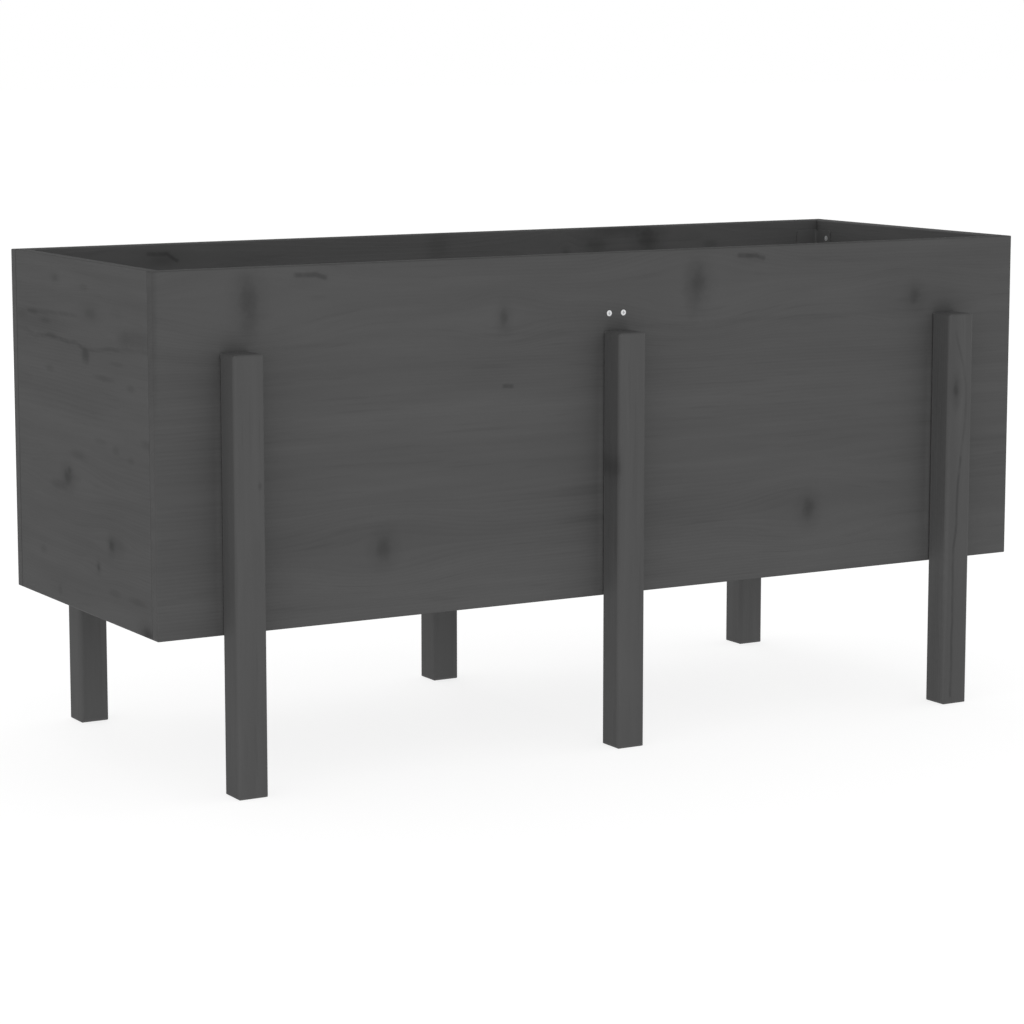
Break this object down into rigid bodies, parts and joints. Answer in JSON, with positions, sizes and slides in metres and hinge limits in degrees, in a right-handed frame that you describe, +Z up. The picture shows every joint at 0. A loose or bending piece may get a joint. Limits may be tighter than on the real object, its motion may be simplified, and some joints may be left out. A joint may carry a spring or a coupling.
{
  "type": "raised planter on legs",
  "caption": "Long rectangular timber planter box, open at the top, held off the ground by square legs on the outside of its long sides, with a slatted floor and a cross brace.",
  "frame": {"origin": "on the ground under the middle of the planter's overall box", "axes": "+X along the length to the right, +Y across the depth to the rear, +Z up"},
  "size_m": [1.21, 0.5, 0.6],
  "materials": {
    "painted_panel": "matt dark grey paint on pine, grain and knots showing faintly",
    "painted_leg": "matt dark grey paint on planed pine",
    "painted_batten": "matt dark grey paint on sawn pine",
    "painted_slat": "matt dark grey paint on sawn pine",
    "painted_steel": "matt dark grey paint",
    "zinc_screw": "bright zinc plating"
  },
  "bodies": {
    "root": {"front_panel": "painted_panel", "rear_panel": "painted_panel", "left_end_panel": "painted_panel", "right_end_panel": "painted_panel", "leg_front_left": "painted_leg", "leg_front_middle": "painted_leg", "leg_front_right": "painted_leg", "leg_rear_left": "painted_leg", "leg_rear_middle": "painted_leg", "leg_rear_right": "painted_leg", "cross_brace": "painted_batten", "front_ledger": "painted_batten", "rear_ledger": "painted_batten", "left_ledger": "painted_batten", "right_ledger": "painted_batten", "floor_slat_1": "painted_slat", "floor_slat_2": "painted_slat", "floor_slat_3": "painted_slat", "floor_slat_4": "painted_slat", "floor_slat_5": "painted_slat", "floor_slat_6": "painted_slat", "floor_slat_7": "painted_slat", "floor_slat_8": "painted_slat", "floor_slat_9": "painted_slat", "floor_slat_10": "painted_slat", "bracket_front_left": "painted_steel", "bracket_front_right": "painted_steel", "bracket_rear_left": "painted_steel", "bracket_rear_right": "painted_steel", "leg_screws": "zinc_screw", "brace_screws": "zinc_screw", "ledger_screws": "zinc_screw", "slat_screws": "zinc_screw", "bracket_screws": "zinc_screw"}
  },
  "joints": []
}
